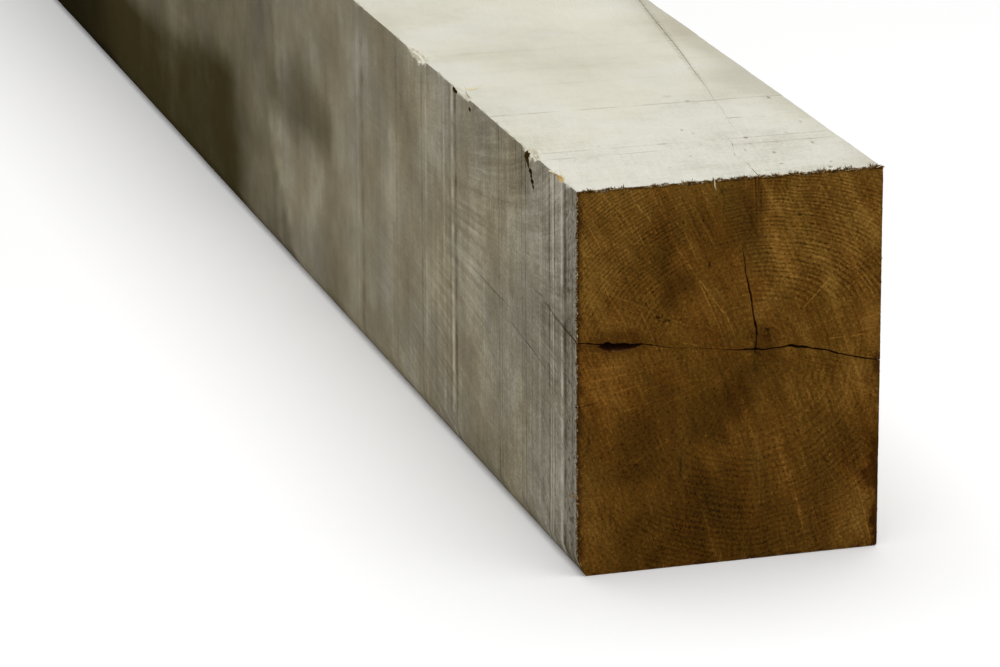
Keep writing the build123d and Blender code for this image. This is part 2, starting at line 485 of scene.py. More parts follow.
def cut_checks(beam):
    """Cuts every check and gouge out of the beam's mesh."""
    cutters = [check_cutter(name, *given) for name, given in CHECKS.items()]
    cutters += [gouge_cutter(number, *given) for number, given in enumerate(GOUGES)]
    for cutter in cutters:
        boolean = beam.modifiers.new(cutter.name, "BOOLEAN")
        boolean.operation = "DIFFERENCE"
        boolean.solver = "MANIFOLD"
        boolean.object = cutter
    graph = bpy.context.evaluated_depsgraph_get()
    whole = bpy.data.meshes.new_from_object(beam.evaluated_get(graph), depsgraph=graph)
    beam.modifiers.clear()
    beam.data = whole
    for cutter in cutters:
        bpy.data.objects.remove(cutter)


# Stains, painted shade and fresh wood, kept as values on the mesh

# Patches of the near end, each across, up, half width, half height and strength
# Darker or, below 0, paler
END_STAINS = [
    (-26, 26, 50, 40, 0.75), (-50, 76, 38, 42, 0.5), (-20, 104, 26, 20, 0.4), (6, 116, 16, 22, 0.6),
    (18, 58, 28, 34, 0.25), (-12, 60, 22, 26, 0.15), (12, 14, 20, 18, 0.35), (78, 72, 22, 22, 0.35),
    (58, 34, 24, 22, 0.2), (-38, 186, 16, 30, 0.4), (-42, 222, 16, 26, 0.4), (8, 226, 16, 30, 0.55),
    (-84, 204, 22, 36, -0.18), (-72, 150, 24, 7, 0.6), (17.5, 138.5, 6, 5, 0.9), (21, 145, 10, 9, 0.5),
    (34, 126, 15, 8, 0.3), (-85, 120, 24, 26, -0.7), (80, 150, 24, 16, -0.3), (70, 108, 26, 18, -0.4),
    (70, 214, 50, 44, -0.35),
]
# Greyer and paler
END_GREYS = [
    (-90, 228, 44, 44, 1), (64, 220, 66, 58, 1), (-24, 246, 60, 36, 0.7), (-96, 40, 20, 66, 0.8),
    (84, 28, 12, 30, 1), (18, 80, 5, 60, 0.5), (52, 60, 60, 70, 0.18), (-46, 196, 60, 50, 0.14),
    (-31, 78, 5, 60, 0.4),
]
# Redder
END_REDS = [
    (22, 143, 13, 10, 0.5), (11, 228, 12, 28, 0.4), (-38, 184, 15, 28, 0.45), (-70, 152, 26, 6, 0.35),
    (8, 108, 14, 26, 0.3),
]
# With clear years
CLEAR_RINGS = [
    (60, 206, 66, 66, 0.84), (-66, 212, 56, 56, 0.6), (66, 60, 66, 76, 0.36), (0, 62, 70, 30, 0.3),
    (-12, 22, 84, 30, 0.4),
]
# The left side is dark beyond this distance from the near end, and darkest beyond the next one, low down
DUSKY_FROM, DARK_FROM, DARK_BELOW = 797, 890, 110
# Below a height its dusky border leans towards the near end
LEAN_BELOW, LEAN = 107, 0.76
# Stretches of its length over which the rest of its darkening, partly dirt and partly painted shade, sets in,
# or ends
STREAK_FROM, TONGUE_FROM, FADE_FROM, TAIL_FROM = (583, 606), (600, 660), (430, 530), (1210, 1570)
COOL_FROM, COOL_TO = (28, 34), (50, 180)
# Stretches of its height over which some of it weakens or ends, going up
STREAK_BELOW, BAND_BELOW, COOL_BELOW, FOOT_BELOW = (135, 170), (130, 215), (110, 190), (4, 16)
# The foot of the streak falls by so much for each millimetre back, and meets the top of the lean here
STREAK_FALL, STREAK_END = 0.01, 800
# The darkening, partly dirt and partly painted shade, goes on as far as the photograph shows, and fades out
# over this stretch
SHOWN_TO = (1650, 2400)
# The hidden faces get dirtier over this stretch
PLAIN_FROM = (300, 900)
# The top is greyer across here, by its right arris, and more so in two steps going back
TOP_EDGE, TOP_GREYER, TOP_GREYEST = (62, 104), (120, 420), (420, 520)
# Its clouds set in over one stretch, and a grey all over it sets in over another
TOP_CLOUDY, TOP_FAR = (60, 200), (600, 1500)
# A red strip along the right arris of the near end, its bulge, where it ends going up, and a spot above it
RED_STRIP, RED_BULGE, RED_BULGE_AT, RED_BELOW = 95.5, 6.5, 49, (66, 84)
RED_SPOT, RED_SPOT_AT = (94, 96), 122
# Fresh wood is this close to the chipped arris at most
CHIP_REACH = 12
# Rot is in the hollows by the chips, behind and above these and between these depths
ROT_BEHIND, ROT_ABOVE, ROT_FROM, ROT_TO = 60, 224, 0.4, 6
DUST_TO, DUST_FROM_LEFT, DUST_FROM_END = (2, 14), 20, 6
# What lies this close to the box belongs to an end, or to a long face
END_SKIN, FACE_SKIN = 2.5, 0.9


def side_dirt_and_shade(back, z):
    """Darkening of the left side, partly dirt and partly painted shade: a dark far part with a pale tongue,
    and a dusky streak above that.
    """
    wander = value_noise(back / 60, z / 40, 32)
    border = DUSKY_FROM - LEAN * np.maximum(LEAN_BELOW - z, 0)
    dusky = smooth(border - 9, border + 9, back + 8 * wander)
    dark_top = DARK_BELOW - 0.07 * (back - DARK_FROM)
    dark = smooth(DARK_FROM - 36, DARK_FROM + 28, back + 16 * wander)
    dark = dark * (1 - smooth(dark_top - 14, dark_top + 16, z + 6 * wander))
    streak = smooth(LEAN_BELOW - 3, LEAN_BELOW + 7, z - STREAK_FALL * (STREAK_END - back)) * (1 - dusky)
    streak = streak * smooth(*STREAK_FROM, back + 4 * wander) * (1 - smooth(*STREAK_BELOW, z + 10 * wander))
    tail = smooth(*TAIL_FROM, back)
    shown = 1 - smooth(*SHOWN_TO, back + 40 * wander)
    tongue = smooth(*TONGUE_FROM, back) * (1 - smooth(LEAN_BELOW - 4, LEAN_BELOW + 4, z))
    fade = smooth(*FADE_FROM, back) * (1 - tongue * (1 - dusky))
    band = 1 - smooth(END_BAND - 3, END_BAND + 2, back)
    band = band * (1.25 - 0.6 * smooth(*BAND_BELOW, z + 12 * wander))
    cool = smooth(*COOL_FROM, back) * 1.5 * (1 - smooth(*COOL_TO, back))
    cool = cool * (1 - smooth(*COOL_BELOW, z + 25 * wander))
    foot = 1 - smooth(*FOOT_BELOW, z + 5 * wander)
    far = shown * (0.33 * dusky + 0.44 * dark + 0.38 * streak + 0.66 * tail)
    return np.clip(0.16 * fade + far + 0.31 * band + 0.07 * cool + 0.16 * foot, 0, 1.5)


def plain_stain(back, z):
    """Light dirt on the faces that aren't seen."""
    cloud = 0.14 * (1 + value_noise(back / 160, z / 70, 43))
    return 0.16 * smooth(*PLAIN_FROM, back) + cloud + 0.12 * (1 - smooth(*FOOT_BELOW, z))


def top_stain(x, back):
    """Weathering of the upper face: greyer along the right arris and towards the far end."""
    wander = value_noise(x / 25, back / 60, 35)
    grey = 0.25 + 0.12 * smooth(*TOP_GREYER, back) + 0.25 * smooth(*TOP_GREYEST, back)
    edge = grey * smooth(*TOP_EDGE, x + 16 * wander)
    cloud = 0.09 * smooth(-0.3, 0.8, value_noise(x / 80, back / 110, 44)) * smooth(*TOP_CLOUDY, back)
    return edge + cloud + 0.3 * smooth(*TOP_FAR, back + 120 * wander)


def in_patches(table, x, z, ragged, inner, outer):
    """How strong each patch of a table is at the points."""
    strengths = []
    for across, up, half_width, half_height, strength in table:
        reach = np.hypot((x - across) / half_width, (z - up) / half_height)
        strengths.append(strength * (1 - smooth(inner, outer, reach + ragged)))
    return strengths


def face_values(points):
    """How stained, fresh, warm, bruised and so on the beam is at each point, with painted shade on the left
    side counted as stain; below 0 a stain is paler.
    """
    x, back, z = points[:, 0], points[:, 1] - NEAR, points[:, 2]
    to_left, to_right, to_top = x - LEFT, RIGHT - x, TOP - z
    on_end, on_far_end = back < END_SKIN, back > LENGTH - END_SKIN
    sweep = np.hypot(x - SAW_X, z - SAW_Z)
    ragged = 0.36 * value_noise(sweep / 7, z / 45, 31) + 0.3 * value_noise(x / 11, z / 11, 39)
    ragged = ragged + 0.35 * value_noise((x + z) / 40, (x - z) / 18, 42)
    stain_and_shade, grey, red = (
        on_end * sum(in_patches(table, x, z, ragged, 0, 1.35)) for table in (END_STAINS, END_GREYS, END_REDS)
    )
    stain_and_shade = np.where(stain_and_shade > 0, 1.15 * (1 - np.exp(-1.1 * stain_and_shade)), stain_and_shade)
    stain_and_shade += on_far_end * 0.8 * smooth(-0.2, 0.6, value_noise(x / 45, z / 45, 36))
    hidden = (to_right < FACE_SKIN) | ((z < FACE_SKIN) & (to_left > WANE_WIDTH))
    # On the left side the stain value also holds painted shade towards the far end
    upright = np.where(hidden, plain_stain(back, z), side_dirt_and_shade(back, z))
    stain_and_shade += ~on_end * ~on_far_end * np.where(to_top < FACE_SKIN, top_stain(x, back), upright)
    clear = np.maximum.reduce(in_patches(CLEAR_RINGS, x, z, 0.3 * value_noise(x / 18, z / 18, 37), 0.4, 1.15))
    strip = RED_STRIP - RED_BULGE * np.exp(-(((z - RED_BULGE_AT) / 6) ** 2))
    strip = strip + 1.2 * value_noise(z / 9, 0, 38) + 2.2 * value_noise(z / 3, x / 5, 40)
    red = np.maximum(red, on_end * smooth(strip - 0.8, strip + 1.2, x) * (1 - smooth(*RED_BELOW, z)))
    red = np.maximum(red, on_end * smooth(*RED_SPOT, x) * (1 - smooth(4, 9, np.abs(z - RED_SPOT_AT))))
    fresh = smooth(0.35, 0.9, np.minimum(to_left, to_top)) * (np.maximum(to_left, to_top) < CHIP_REACH)
    chipped = chip_depth(back, 0)
    fresh = fresh * smooth(0.2, 0.8, chipped) * (to_left + to_top < 2.2 * chipped + 0.8)
    warm = np.maximum.reduce([
        warmth * smooth(-0.15, 0.15, (back - distance) / length) * (back < distance + length / 2)
        for distance, length, _, warmth in CHIPS
    ])
    edge = np.minimum(np.minimum(to_left, to_right), np.minimum(to_top, z))
    patchy = value_noise(x / 4 + z / 4, back / 2, 33) + 0.35 * value_noise(x / 1.7 + z / 1.7, back, 34)
    bruise = np.maximum.reduce([
        smooth(0.55, 1, back) * on_end * (edge < 1.2),
        (1 - smooth(0.8, 3.6, back)) * smooth(0, 0.3, patchy) * (edge < 1.6),
        (1 - smooth(0.9, 1.7, back)) * (np.minimum(to_left, to_top) < 1.6),
        on_end * (1 - smooth(1, 4.6, to_left + 1.6 * patchy)),
    ])
    rot = (back > ROT_BEHIND) * (z > ROT_ABOVE) * (to_left > ROT_FROM) * (to_left < ROT_TO)
    dust = (1 - smooth(*DUST_TO, to_top)) * (to_left > DUST_FROM_LEFT) * (back > DUST_FROM_END)
    return {
        "stain_and_shade": stain_and_shade, "fresh": fresh, "warm": warm, "bruise": bruise, "dust": dust, "rot": rot,
        "clear": clear, "red": red, "grey": np.minimum(grey, 1),
    }


def read(items, name, kind=float, width=1):
    """One property of all vertices, corners or faces of a mesh."""
    values = np.zeros(len(items) * width, kind)
    items.foreach_get(name, values)
    return values.reshape(-1, width).squeeze()


def keep_values(mesh):
    """Keeps the values of the surface on the mesh, for its materials."""
    for name, values in face_values(read(mesh.vertices, "co", width=3) / MM).items():
        mesh.attributes.new(name, "FLOAT", "POINT").data.foreach_set("value", values)


# For baking, the left side and the top are laid out in two stretches that meet this far from the near end
NEAR_STRETCH = 600
# Room of each stretch of the surface on the map that its colours are baked to: left, bottom, right, top
MAP_ROOM = {
    "near_end": (0, 0, 0.42, 0.525), "left": (0.425, 0, 0.69, 0.58), "top": (0.695, 0, 0.90, 0.58),
    "far_end": (0.905, 0, 1, 0.12), "level_check": (0.905, 0.125, 0.95, 0.58),
    "upright_check": (0.955, 0.125, 1, 0.58), "left_beyond": (0, 0.585, 1, 0.715),
    "top_beyond": (0, 0.72, 1, 0.82), "right": (0, 0.825, 1, 0.92), "underside": (0, 0.925, 1, 1),
}
# Gap between the stretches
MAP_GAP = 0.002


def bake_layout(mesh):
    """Lays the surface out for baking, with most room for the near end and the faces beside it."""
    faces = mesh.polygons
    x, along, z = (read(mesh.vertices, "co", width=3)[read(mesh.loops, "vertex_index", int)] / MM).T
    across, up, back = (x - LEFT) / WIDTH, z / TOP, along - NEAR
    sizes = read(faces, "loop_total", int)
    near = np.repeat(read(faces, "center", width=3)[:, 1] / MM - NEAR < NEAR_STRETCH, sizes)
    level = np.repeat(np.abs(read(faces, "normal", width=3)[:, 2]) > 0.7, sizes)
    slot = np.repeat(read(faces, "material_index", int), sizes)
    on = {name: slot == k for k, name in enumerate(SLOTS)}
    nearly, whole = back / NEAR_STRETCH, back / LENGTH
    beyond = (back - NEAR_STRETCH) / (LENGTH - NEAR_STRETCH)
    laid = {
        "near_end": (on["near_end"], across, up),
        "far_end": (on["far_end"], across, up),
        "left": (on["left"] & near, up, nearly),
        "left_beyond": (on["left"] & ~near, beyond, up),
        "top": (on["top"] & near, across, nearly),
        "top_beyond": (on["top"] & ~near, beyond, across),
        "right": (on["right"], whole, up),
        "underside": (on["underside"], whole, across),
        "level_check": (on["check"] & level, across, nearly),
        "upright_check": (on["check"] & ~level, up, nearly),
    }
    spots = np.zeros((len(slot), 2))
    for name, (chosen, *places) in laid.items():
        room = MAP_ROOM[name]
        for k, place in enumerate(places):
            start, end = room[k] + MAP_GAP, room[k + 2] - MAP_GAP
            spots[chosen, k] = start + (end - start) * np.clip(place[chosen], 0, 1)
    mesh.uv_layers.new(name="OFBake").data.foreach_set("uv", spots.ravel())


# Materials

# Width of the years at a distance from the pith, and how fast they narrow going out
RING_RADIUS, RING_PITCH, RING_POWER = 100, 2.25, 1.4
# They are this much broader than high above and below the pith, and below it distances count for less
OVAL_ABOVE, OVAL_BELOW, WIDER_BELOW = 1.32, 1.08, 0.7

# How much light each face gets in this studio, so that its colours can be given as they are seen
LIGHT_ON = dict(zip(SLOTS, [0.6, 1.05, 0.6, 0.6, 0.75, 0.75, 0.6]))
LIGHT_ON_CHIPS, LIGHT_ON_WARM_CHIPS, LIGHT_ON_BRUISES, LIGHT_ON_FIBRES = 0.85, 1, 0.75, 0.8
# Both tones of the fresh wood of a chip, and of a warm one
PALE_CHIP, WARM_CHIP = [(222, 219, 203), (192, 186, 163)], [(224, 192, 122), (170, 112, 46)]


class Value:
    """What a node puts out, to be reckoned with like a number."""

    def __init__(self, socket):
        self.socket = socket

    def math(self, operation, *others):
        return add_node(self.socket.id_data, "Math", (self, *others), operation=operation)

    __add__ = functools.partialmethod(math, "ADD")
    __sub__ = functools.partialmethod(math, "SUBTRACT")
    __mul__ = functools.partialmethod(math, "MULTIPLY")
    __truediv__ = functools.partialmethod(math, "DIVIDE")
    __pow__ = functools.partialmethod(math, "POWER")
    __abs__ = functools.partialmethod(math, "ABSOLUTE")
    least = functools.partialmethod(math, "MINIMUM")
    most = functools.partialmethod(math, "MAXIMUM")

    def span(self, low_edge, high_edge, start=0, end=1):
        """Goes smoothly from start to end while the value goes from the low to the high edge."""
        inputs = (self, low_edge, high_edge, start, end)
        return add_node(self.socket.id_data, "MapRange", inputs, interpolation_type="SMOOTHSTEP")

    def along(self, low_edge, high_edge, start=0, end=1):
        """The same between two edges in millimetres."""
        return self.span(low_edge * MM, high_edge * MM, start, end)


def feed(socket, value):
    """Gives a socket a number or a colour, or links it to a value."""
    if isinstance(value, Value):
        socket.id_data.links.new(value.socket, socket)
    else:
        socket.default_value = value


def add_node(tree, kind, inputs=(), output=0, **settings):
    """Adds a node with these settings and inputs, by number or by name, and gives one of its outputs."""
    node = tree.nodes.new("ShaderNode" + kind)
    for name, value in settings.items():
        setattr(node, name, value)
    for key, value in inputs.items() if isinstance(inputs, dict) else enumerate(inputs):
        feed(node.inputs[key], value)
    return Value(node.outputs[output])


class Shading:
    """The nodes of a material's surface, under so much light."""

    def __init__(self, material, light):
        material.use_nodes = True
        self.add = functools.partial(add_node, material.node_tree)
        self.light = light
        self.shader = material.node_tree.nodes["Principled BSDF"].inputs
        self.place = self.add("TexCoord", output="Object")

    def seen(self, colour, light=None):
        """The surface colour that looks like this 0 to 255 colour under the light."""
        parts = [c / 255 for c in colour]
        linear = [p / 12.92 if p <= 0.04045 else ((p + 0.055) / 1.055) ** 2.4 for p in parts]
        return (*(p / (light or self.light) for p in linear), 1)

    def vector(self, operation, *values, output=0):
        return self.add("VectorMath", values, output, operation=operation)

    def length(self, vector):
        return self.vector("LENGTH", vector, output="Value")

    def parts(self, vector):
        return [Value(part) for part in self.add("SeparateXYZ", [vector]).socket.node.outputs]

    def joined(self, *values):
        return self.add("CombineXYZ", values)

    def noise(self, scale, detail=2, roughness=0.5, shift=(0, 0, 0), place=None):
        """Noise about 0; a scale of three numbers draws it out."""
        place = place or self.place
        if isinstance(scale, tuple):
            place = self.add("Mapping", {"Vector": place, "Location": shift, "Scale": scale})
            scale = 1
        inputs = {"Vector": place, "Scale": scale, "Detail": detail, "Roughness": roughness}
        return self.add("TexNoise", inputs) - 0.5

    def mix(self, share, first, second, blend="MIX"):
        # A mix of colours has them at these numbers
        return self.add("Mix", {0: share, 6: first, 7: second}, 2, data_type="RGBA", blend_type=blend)

    def ramp(self, value, colours, at=(0, 0.5, 1)):
        """Goes through the colours as the value goes through the places."""
        ramp = self.add("ValToRGB", [value])
        elements = ramp.socket.node.color_ramp.elements
        while len(elements) < len(colours):
            elements.new(0.5)
        for element, position, colour in zip(elements, at, colours):
            element.position = position
            element.color = self.seen(colour)
        return ramp

    def kept(self, name):
        """A value kept on the mesh."""
        return self.add("Attribute", output="Fac", attribute_name=name)

    def finish(self, colour, roughness, height=None, distance=0):
        """Gives the shader its colour and roughness, with no gloss, and its bumps."""
        inputs = {"Base Color": colour, "Roughness": roughness, "Specular IOR Level": 0}
        if height:
            inputs["Normal"] = self.add("Bump", {"Strength": 1, "Distance": distance * MM, "Height": height})
        for name, value in inputs.items():
            feed(self.shader[name], value)


# Single marks of the saw: distance back on the middle line, width, how much paler they are, slant if any
LEFT_LINES = [
    (4, 5, 0.18), (11, 3, -0.2), (17, 3.5, 0.12), (25.5, 5, -0.4), (32.2, 3.2, 0.46), (40, 5, -0.08),
    (46.6, 2, -0.36), (49.8, 2, 0.32), (55, 2, 0.28), (58.5, 3.2, -0.3), (65, 1.6, 0.1),
    (72.5, 1.3, -0.18), (79.5, 1.3, 0.15), (82, 1.2, -0.12), (100, 2, 0.1), (109.5, 2.4, -0.3),
    (118, 1.9, -0.24), (131, 2, -0.16), (150, 3, 0.08), (163, 2.2, -0.2), (169, 2.4, -0.24),
    (205, 2.4, 0.1), (270, 5, -0.3), (279, 5, 0.38), (285, 3, -0.14), (299, 4, 0.18), (344, 4, 0.16),
    (354, 4, -0.18), (420, 4, -0.1), (512, 9, -0.2), (524, 6, 0.1), (760, 22, 0.16),
]
TOP_LINES = [
    (78, 1.6, -0.36), (93, 2.2, -0.22), (189, 2.4, -0.26, -0.025), (141, 1.6, -0.06),
    (40, 1.2, -0.06, -0.02), (258, 4, -0.07, -0.04), (300, 6, -0.04, -0.04), (352, 6, -0.05, -0.04),
    (700, 6, -0.14, -0.04), (1130, 6, -0.14, -0.04), (1720, 6, -0.14, -0.04),
]
# Painted shade along the check on the top: both ends (across, back), width and strength
TOP_CHECK_SHADE = [((56, 205), (99, 510), 4.6, -0.26)]
# Small dark marks on the top: across, back, half width, half length and strength
TOP_MARKS = [
    (68.5, 11, 1.6, 3.4, 0.75), (73, 22, 1.2, 3, 0.35), (80.5, 4, 1, 2.6, 0.7), (94, 6, 1.8, 4, 0.55),
    (42, 26.5, 1.6, 1.9, 0.5), (46.5, 53, 1.4, 3.4, 0.5), (77.5, 68, 1.2, 3.4, 0.45),
    (35, 190, 2.6, 3, 0.35), (88.5, 183, 1.8, 3.6, 0.55), (8.5, 122, 1, 3, 0.4), (13, 113, 0.8, 4, 0.25),
    (50, 141, 6.5, 1.6, 0.35), (-14, 93.5, 4, 1.5, 0.3), (41.5, 92.5, 2, 2.6, 0.55), (31, 64, 1.2, 5, 0.3),
    (-6.5, 60, 1.2, 2.4, 0.22), (-28, 38, 1, 2.4, 0.22), (26, 205, 4, 5, 0.15), (-54, 101, 1, 2.4, 0.2),
    (42, 9, 1.2, 2.2, 0.4), (70, 97, 1.4, 3, 0.2), (14, 7, 1, 3, 0.4), (88, 120, 1.4, 4, 0.25),
    (-80, 70, 1, 2, 0.15),
]


def saw_lines(s, lines, back, over):
    """The single marks of the saw, wavering a little; sawn_face wears them away here and there."""
    wander = s.noise(1, 3, place=s.joined(over * 60, back * 25, 0)) * (2.4 * MM)
    total = 0
    for place, width, paler, *slant in lines:
        off = back - place * MM + wander - over * sum(slant)
        total = abs(off).along(0.15 * width, 0.75 * width, paler, 0) + total
    return total


def dark_marks(s, marks, across, along, drift):
    """Small ragged marks, drawn out along the grain by the drift."""
    rough = s.noise(500) * 1.6
    total = 0
    for at_across, at_along, half_width, half_length, strength in marks:
        off_y = along - at_along * MM
        off_x = across - at_across * MM - off_y * drift
        reach = s.length(s.joined(off_x / (half_width * MM), off_y / (half_length * MM), 0)) + rough
        total = reach.span(0.3, 1.1, strength, 0).most(total)
    return total


def fine_lines(s, lines, x, z):
    """Straight fine lines on a face, broken here and there."""
    total = 0
    for (x0, z0), (x1, z1), width, strength in lines:
        length = math.hypot(x1 - x0, z1 - z0)
        ux, uz = (x1 - x0) / length, (z1 - z0) / length
        dx, dz = x - (x0 + x1) / 2 * MM, z - (z0 + z1) / 2 * MM
        near = abs(dx * uz - dz * ux).along(0.1 * width, 0.9 * width, strength, 0)
        total = near * abs(dx * ux + dz * uz).along(0.3 * length, 0.52 * length, 1, 0) + total
    return total * s.noise(260).span(-0.12, 0.08, 0.25, 1)


# The marks of a sawn face grow faint over a stretch of its length, and are this clear again beyond another
CLEAR_AGAIN = 0.9


def sawn_face(
    slot, tones, tan, stain_and_shade_tone, bruise_tone, rough, saw, contrast, grained, fade,
    lines=(), marks=(), check_shade=(),
):
    """A long sawn face: marks of the saw across it, the grain along it, blotches, specks and stains, and
    painted shade.
    """
    s = Shading(materials[slot], LIGHT_ON[slot])
    upright = slot in ("left", "right")
    shift = (0, 0, 7.3 * SLOTS.index(slot))
    x, y, z = s.parts(s.place)
    back = y - NEAR * MM

    def across(run, over, *settings):
        """Noise drawn out across the length."""
        return s.noise((0, run, over) if upright else (over, run, 0), *settings, shift=shift)

    if upright:
        grain_across = (z - FAN_Z * MM) * (back.least(FAN_STOP * MM) / (FAN_REACH * MM) + 1)
    else:
        grain_across = x - back * TOP_DRIFT
    on_grain = s.joined(grain_across, back, 0)
    faint_from, faint_by, faint, clear_from, clear_by = fade
    clear_again = back.along(clear_from, clear_by, 0, CLEAR_AGAIN)
    fading = back.along(faint_from, faint_by, 1, faint).most(clear_again)
    wide_fade = back.along(500, 1000, 1, 0.3).most(clear_again)
    by_the_end = back.along(25, 140, 1.7, 0.7) * fading
    crisp = back.along(60, 300, 1.25, 0.7) * fading
    saw_fine, saw_mid, saw_wide = across(560, 6), across(150, 3, 3), across(26, 3)
    grain = s.noise((62 if upright else 160, 6, 0), 4, 0.65, shift, on_grain)
    ripple = s.noise((300, 75, 0) if upright else (420, 40, 0), 3, 0.6, shift, on_grain)
    grain_clear = s.noise(7, 1).span(-0.05, 0.12, 0.25, 1) * fading**2
    blotch, mottle, speck = s.noise(12, 4, 0.6), s.noise(60, 4, 0.65), s.noise(430, 3, 0.75)
    sawn = (saw_fine * 0.30 + saw_mid * 0.34) * by_the_end + saw_wide * 0.24 * wide_fade
    figure = grain * grain_clear + ripple * 0.37 * by_the_end
    uneven = figure * grained + blotch * 0.85 + mottle * 0.46 * fading + speck * 0.60 * crisp
    tone = sawn * saw + uneven * contrast + 0.5
    if lines:
        wear = across(30, 44, 3).span(-0.16, 0.12, 0.15, 1.1)
        tone += saw_lines(s, lines, back, z if upright else x) * wear
    # Painted shade beside the check on the top
    if check_shade:
        tone += fine_lines(s, check_shade, x, back)
    colour = s.ramp(tone, tones)
    warmth = (s.noise(13, 4) + back.along(50, 220, -0.12, 0.06)).span(-0.15, 0.2)
    colour = s.mix(warmth, colour, (*tan, 1), "MULTIPLY")
    # Stains darken the face; on the left side towards the far end this darkening is partly painted shade
    darkening = s.kept("stain_and_shade") * (tone * -0.3 + 1.15)
    colour = s.mix(darkening.least(0.96), colour, s.seen(stain_and_shade_tone))
    colour = s.mix(darkening.span(1, 1.5, 0, 0.8), colour, s.seen([0.5 * c for c in stain_and_shade_tone]))
    pocks = across(520, 190, 4, 0.7)
    pocked = pocks.span(0.18, 0.26, 0, 0.38).most(pocks.span(0.03, 0.13) * back.along(18, 34, rough, 0))
    colour = s.mix(pocked, colour, s.seen([0.55 * c for c in tones[0]]))
    if marks:
        colour = s.mix(dark_marks(s, marks, x, back, TOP_DRIFT), colour, s.seen((84, 76, 58)))
    splinters = s.noise((700, 45, 700), 3).span(-0.12, 0.14)
    chip = s.mix(splinters, *(s.seen(c, LIGHT_ON_CHIPS) for c in PALE_CHIP))
    warm_chip = s.mix(splinters, *(s.seen(c, LIGHT_ON_WARM_CHIPS) for c in WARM_CHIP))
    colour = s.mix(s.kept("fresh"), colour, s.mix(s.kept("warm"), chip, warm_chip))
    torn = s.kept("bruise") * speck.span(-0.12, 0.1, 0.75, 1)
    colour = s.mix(torn, colour, s.seen(bruise_tone, LIGHT_ON_BRUISES))
    s.finish(colour, 0.92, (saw_fine + saw_mid + grain + ripple) * 0.5 + speck * 0.4, 0.8)


# Pale lines on the near end, where rays or scratches catch the light: both ends (across, up), width, strength
PALE_LINES = [
    ((-24, 192), (0, 158), 0.9, 0.44), ((-48, 246), (-36, 210), 0.8, 0.22),
    ((-37, 212), (-22, 189), 0.8, 0.24), ((28, 90), (55, 4), 2.6, 0.16), ((0, 126), (19, 74), 2.2, 0.14),
    ((66, 181), (46, 160.5), 0.8, 0.4), ((-34, 243), (-29, 229), 1, 0.3),
    ((-62, 247), (-45, 212), 0.7, 0.22), ((-22, 222), (-15, 204), 0.8, 0.22),
    ((-42, 164), (-28, 158), 0.9, 0.26), ((-33, 147.5), (-20, 144.5), 0.9, 0.22),
    ((64, 141), (91, 142), 0.8, 0.26), ((-78, 104), (-38, 114), 0.8, 0.2),
    ((-22, 99), (-4, 109), 0.8, 0.2), ((-84, 190), (-68, 162), 0.9, 0.18),
    ((-52, 172), (-46, 158), 0.8, 0.18), ((38, 66), (52, 10), 1.2, 0.2), ((6, 112), (15, 88), 1, 0.16),
    ((26, 62), (31, 30), 0.9, 0.14), ((-42, 109), (-6, 118), 0.8, 0.2),
    ((-66, 70), (-36, 86.5), 0.8, 0.22), ((-80, 84), (-52, 98), 0.7, 0.16),
    ((-40, 60), (-20, 76), 0.7, 0.16),
]
# Small dark marks on the near end: across, up, half width, half height and strength
END_MARKS = [
    (-48, 165, 3.4, 1.4, 0.8), (-41.5, 162.5, 5, 1.3, 0.7), (45, 224, 1.8, 1.8, 0.8),
    (-14, 196, 1.4, 3.4, 0.7), (24.5, 150.5, 2.6, 1.8, 0.65), (25.5, 147.5, 1.2, 3.4, 0.45),
    (17.5, 130, 3.6, 8, 0.35), (22, 133, 9, 5, 0.3), (-40, 180, 5, 9, 0.2), (-43, 196, 3.4, 7, 0.2),
    (19.5, 233, 1.1, 15, 0.4), (12, 218, 6, 16, 0.25), (-6, 243, 3, 4, 0.4), (-92, 90, 1.4, 9, 0.4),
    (-78, 38, 1.6, 9, 0.4), (-32, 66, 1.3, 10, 0.5),
]
# Dark, middle and pale colours of the end grain, and of its greyer parts
CORE = [(38, 23, 6), (89, 59, 18), (138, 98, 41)]
RIM = [(52, 36, 11), (105, 74, 27), (154, 116, 54)]


